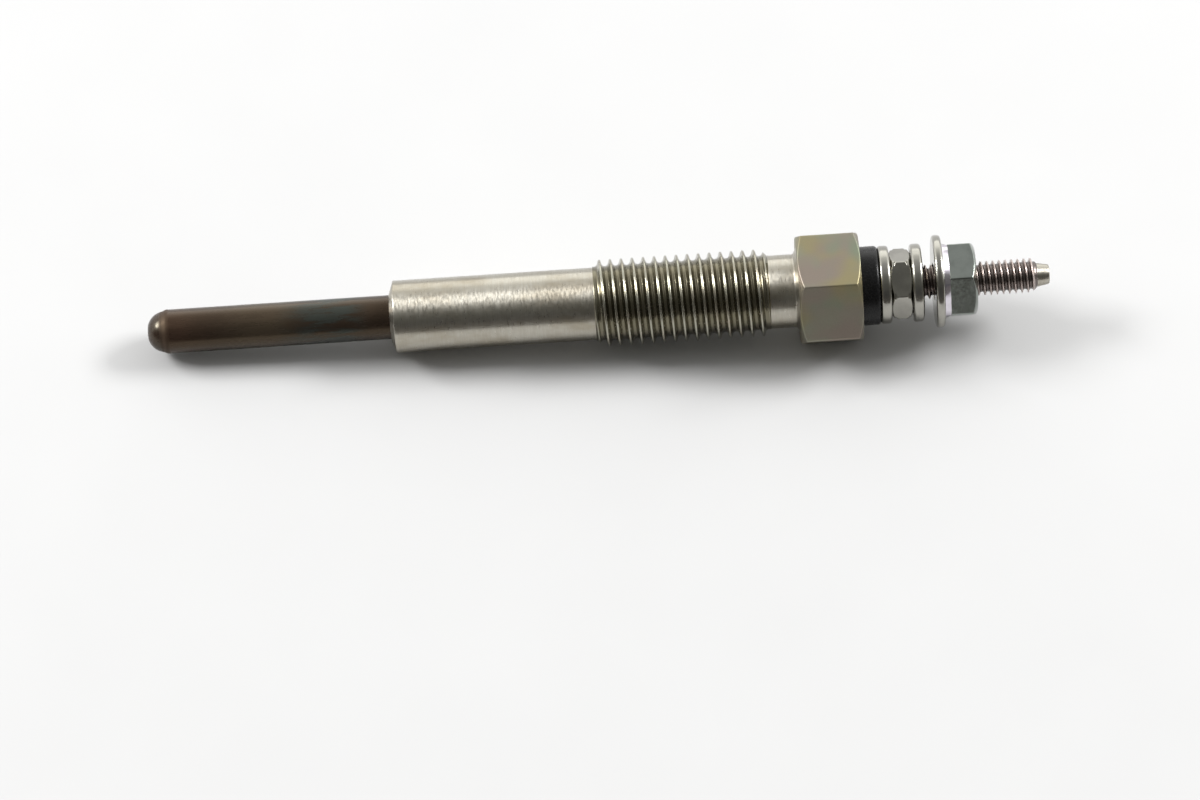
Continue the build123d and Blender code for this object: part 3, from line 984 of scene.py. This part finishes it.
class GLOWPLUG_OT_nuts(bpy.types.Operator):
    """Thin fixing nut and terminal nut"""

    bl_idname = "glowplug.nuts"
    bl_label = "Nuts"

    def execute(self, context):
        plug = context.scene.glow_plug
        self.add_fixing_nut(plug)
        self.add_terminal_nut(plug)
        return {"FINISHED"}

    def bore_corners(self, terminal, front, rear):
        """Bore with a chamfer at both ends, from the rear to the front."""
        bore, sink = terminal.nut_bore / 2, terminal.nut_countersink
        fine = 0.04 * MM
        return [
            (rear, bore + sink, fine),
            (rear - sink, bore, fine),
            (front + sink, bore, fine),
            (front, bore + sink, fine),
        ]

    def add_fixing_nut(self, plug):
        """Thin nut with a chamfer and a round shoulder at both ends."""
        terminal = plug.terminal
        front, rear, _ = measured("fixing_nut")
        turn = terminal.fixing_nut_turn
        angles = hexagon_angles(plug.columns, turn)
        reach = hexagon_reach(angles, terminal.fixing_nut, turn, terminal.nut_corner)
        face, shoulder = terminal.fixing_nut_face / 2, terminal.fixing_nut_shoulder / 2
        step = terminal.fixing_nut_shoulder_length
        low = np.minimum(reach, shoulder)
        bevel = (low - face) * CHAMFER_SLOPE
        crown = np.maximum((reach - shoulder) * CHAMFER_SLOPE, 0.03 * MM)
        fine = 0.06 * MM
        corners = [
            (front, face, fine),
            (front + bevel, low, fine),
            (front + step, low, fine),
            (front + step + crown, reach, fine),
            (rear - step - crown, reach, fine),
            (rear - step, low, fine),
            (rear - bevel, low, fine),
            (rear, face, fine),
            *self.bore_corners(terminal, front, rear),
        ]
        bright = bright_plating("bright_nut", tuple(plug.finish.nickel))
        add_piece(ring_mesh("thin_nut", angles, corners), "fixing_nut", [bright])

    def add_terminal_nut(self, plug):
        """Nut with a round collar in front and a chamfer behind."""
        terminal = plug.terminal
        front, rear, _ = measured("terminal_nut")
        angles = hexagon_angles(plug.columns, 0.0)
        reach = hexagon_reach(angles, terminal.terminal_nut, 0.0, terminal.nut_corner)
        face = terminal.terminal_nut_face / 2
        collar_end = front + terminal.collar_length
        bevel = (reach - face) * CHAMFER_SLOPE
        fine, finest = 0.06 * MM, 0.02 * MM
        corners = [
            (front, terminal.collar / 2, fine),
            (collar_end, np.minimum(reach - 0.01 * MM, terminal.collar / 2), finest),
            (collar_end, reach, fine),
            (rear - bevel, reach, 0.08 * MM),
            (rear, face, fine),
            *self.bore_corners(terminal, front, rear),
        ]
        mesh = ring_mesh("stud_nut", angles, corners)
        # The collar gets a bright copy of the nut's plating, a painted highlight
        finishes = [
            bright_plating("nut_plating", tuple(plug.finish.nut)),
            bright_plating("collar_plating", tuple(plug.finish.collar)),
        ]
        collar = collar_end - finest
        add_piece(mesh, "terminal_nut", finishes, lambda station, _: int(station < collar))


# Two tones, metallic, roughness and grains a metre of each inner part
INNER_FINISHES = {
    "heating_coil": ((0.20, 0.17, 0.15), (0.30, 0.27, 0.24), 1.0, 0.40, 5000.0),
    "regulating_coil": ((0.45, 0.43, 0.40), (0.55, 0.52, 0.48), 1.0, 0.30, 5000.0),
    "magnesia_filler": ((0.80, 0.79, 0.74), (0.70, 0.68, 0.62), 0.0, 0.90, 3000.0),
    "sheath_seal": ((0.020, 0.020, 0.020), (0.035, 0.034, 0.033), 0.0, 0.60, 2500.0),
    "body_seal": ((0.025, 0.024, 0.023), (0.040, 0.038, 0.036), 0.0, 0.55, 2500.0),
}


class GLOWPLUG_OT_inner_parts(bpy.types.Operator):
    """Finishes of the parts inside the plug"""

    bl_idname = "glowplug.inner_parts"
    bl_label = "Inner parts"

    def execute(self, context):
        for node, values in INNER_FINISHES.items():
            carried = frame["nodes"][node]
            carried.data.materials.clear()
            carried.data.materials.append(plain_grain(f"{node}_finish", *values))
        return {"FINISHED"}


# The room's light by degrees over the table, from the far horizon to the near one: ahead of
# the camera, and to both sides
ROOM_AHEAD = (
    (0.0, 1.00, 1.00, 0.98),
    (20.0, 0.90, 0.90, 0.88),
    (40.0, 0.46, 0.46, 0.45),
    (61.0, 0.27, 0.27, 0.27),
    (80.0, 0.20, 0.20, 0.20),
    (101.0, 0.11, 0.11, 0.105),
    (121.0, 0.07, 0.07, 0.065),
    (150.0, 0.045, 0.045, 0.045),
    (180.0, 0.07, 0.065, 0.06),
)
ROOM_ASIDE = (
    (0.0, 0.70, 0.70, 0.68),
    (25.0, 0.65, 0.65, 0.64),
    (45.0, 0.80, 0.80, 0.80),
    (80.0, 0.80, 0.80, 0.80),
    (95.0, 0.42, 0.42, 0.42),
    (110.0, 0.17, 0.17, 0.165),
    (130.0, 0.07, 0.07, 0.065),
    (180.0, 0.08, 0.075, 0.07),
)

# Sideways share of a direction at which the light from the sides begins, and is all there is
SIDES_BEGIN = 0.20
SIDES_FULL = 0.55


class GLOWPLUG_OT_stage(bpy.types.Operator):
    """Pale floor, two soft lamps, a plain room and the camera"""

    bl_idname = "glowplug.stage"
    bl_label = "Stage"

    def execute(self, context):
        scene = context.scene
        stage = scene.glow_plug.stage
        self.add_floor(stage)
        self.add_room(scene, stage)
        self.add_lamp("lamp_left", stage, -stage.lamp_aside)
        self.add_lamp("lamp_right", stage, stage.lamp_aside)
        self.add_camera(scene, stage)
        scene.view_settings.view_transform = "Standard"
        return {"FINISHED"}

    def add_floor(self, stage):
        """Wide, matt and pale floor."""
        bpy.ops.mesh.primitive_plane_add(size=stage.floor_size)
        floor = bpy.context.object
        floor.name = "floor"
        made = Finish("pale_floor")
        grain = made.noise((60.0, 60.0, 60.0), 2.0, 0.5)
        dark, light = tones(stage, "floor", "floor_light")
        made.surface(
            Base_Color=made.mix(grain, dark, light),
            Roughness=0.9,
            Specular_IOR_Level=0.0,
        )
        floor.data.materials.append(made.material)

    def add_room(self, scene, stage):
        """World that is pale beyond the table, bright at its sides and dim behind the camera."""
        scene.world = bpy.data.worlds.new("room")
        scene.world.use_nodes = True
        made = Nodes(scene.world.node_tree)
        direction = made.add("ShaderNodeTexCoord").outputs["Generated"]
        split = made.add("ShaderNodeSeparateXYZ", {0: direction})
        over = made.calculate("ARCTAN2", split.outputs["Z"], split.outputs["Y"])
        degrees = made.calculate("DEGREES", over)
        sideways = made.calculate("ABSOLUTE", split.outputs["X"])
        aside = made.ramp(sideways, SIDES_BEGIN, SIDES_FULL)
        ahead_light = made.tinted(degrees, ROOM_AHEAD)
        side_light = made.tinted(degrees, ROOM_ASIDE)
        background = made.tree.nodes["Background"]
        made.feed(background.inputs["Color"], made.mix(aside, ahead_light, side_light))
        made.feed(background.inputs["Strength"], stage.room_light)

    def add_lamp(self, name, stage, aside):
        """Lamp that stands aside of the plug and shines on it."""
        data = bpy.data.lights.new(name, "AREA")
        data.shape = "RECTANGLE"
        data.size = stage.lamp_width
        data.size_y = stage.lamp_depth
        data.energy = stage.lamp_power
        lamp = bpy.data.objects.new(name, data)
        bpy.context.scene.collection.objects.link(lamp)
        place = Vector((aside, stage.lamp_behind, stage.lamp_height))
        lamp.location = place
        lamp.rotation_mode = "QUATERNION"
        lamp.rotation_quaternion = place.to_track_quat("Z", "Y")

    def add_camera(self, scene, stage):
        """Camera that looks down at the plug from its settings' angles."""
        data = bpy.data.cameras.new("camera")
        data.lens = stage.camera_lens
        camera = bpy.data.objects.new("camera", data)
        scene.collection.objects.link(camera)
        elevation, azimuth = stage.camera_elevation, stage.camera_azimuth
        level = math.cos(elevation)
        back = Vector((math.sin(azimuth) * level, -math.cos(azimuth) * level, math.sin(elevation)))
        facing = (-back).to_track_quat("-Z", "Y")
        low, high = cad_box
        offset = Vector((stage.camera_aim_right, -stage.camera_aim_drop, 0.0))
        aim = (low + high) / 2 + facing @ offset
        camera.location = aim + back * stage.camera_distance
        camera.rotation_mode = "QUATERNION"
        camera.rotation_quaternion = facing
        scene.camera = camera


class GLOWPLUG_PT_panel(bpy.types.Panel):
    """Sidebar panel with the plug's operators and settings"""

    bl_idname = "GLOWPLUG_PT_panel"
    bl_label = "Glow plug"
    bl_space_type = "VIEW_3D"
    bl_region_type = "UI"
    bl_category = "Glow plug"

    def draw(self, context):
        layout = self.layout
        for operator in OPERATORS:
            layout.operator(operator.bl_idname)
        plug = context.scene.glow_plug
        layout.prop(plug, "columns")
        for group in ("tube", "housing", "rod", "terminal", "finish", "stage"):
            box = layout.box()
            box.label(text=group.capitalize())
            settings = getattr(plug, group)
            for name in settings.__annotations__:
                box.prop(settings, name)


SETTINGS = (
    TubeSettings,
    HousingSettings,
    RodSettings,
    TerminalSettings,
    FinishSettings,
    StageSettings,
    PlugSettings,
)
OPERATORS = (
    GLOWPLUG_OT_tube,
    GLOWPLUG_OT_housing,
    GLOWPLUG_OT_rod,
    GLOWPLUG_OT_bush,
    GLOWPLUG_OT_washers,
    GLOWPLUG_OT_nuts,
    GLOWPLUG_OT_inner_parts,
    GLOWPLUG_OT_stage,
)


def register():
    for group in (*SETTINGS, *OPERATORS, GLOWPLUG_PT_panel):
        bpy.utils.register_class(group)
    bpy.types.Scene.glow_plug = PointerProperty(type=PlugSettings)


def unregister():
    del bpy.types.Scene.glow_plug
    for group in reversed((*SETTINGS, *OPERATORS, GLOWPLUG_PT_panel)):
        bpy.utils.unregister_class(group)


def main():
    register()
    bpy.ops.glowplug.tube()
    bpy.ops.glowplug.housing()
    bpy.ops.glowplug.rod()
    bpy.ops.glowplug.bush()
    bpy.ops.glowplug.washers()
    bpy.ops.glowplug.nuts()
    bpy.ops.glowplug.inner_parts()
    bpy.ops.glowplug.stage()


if __name__ == "__main__":
    main()
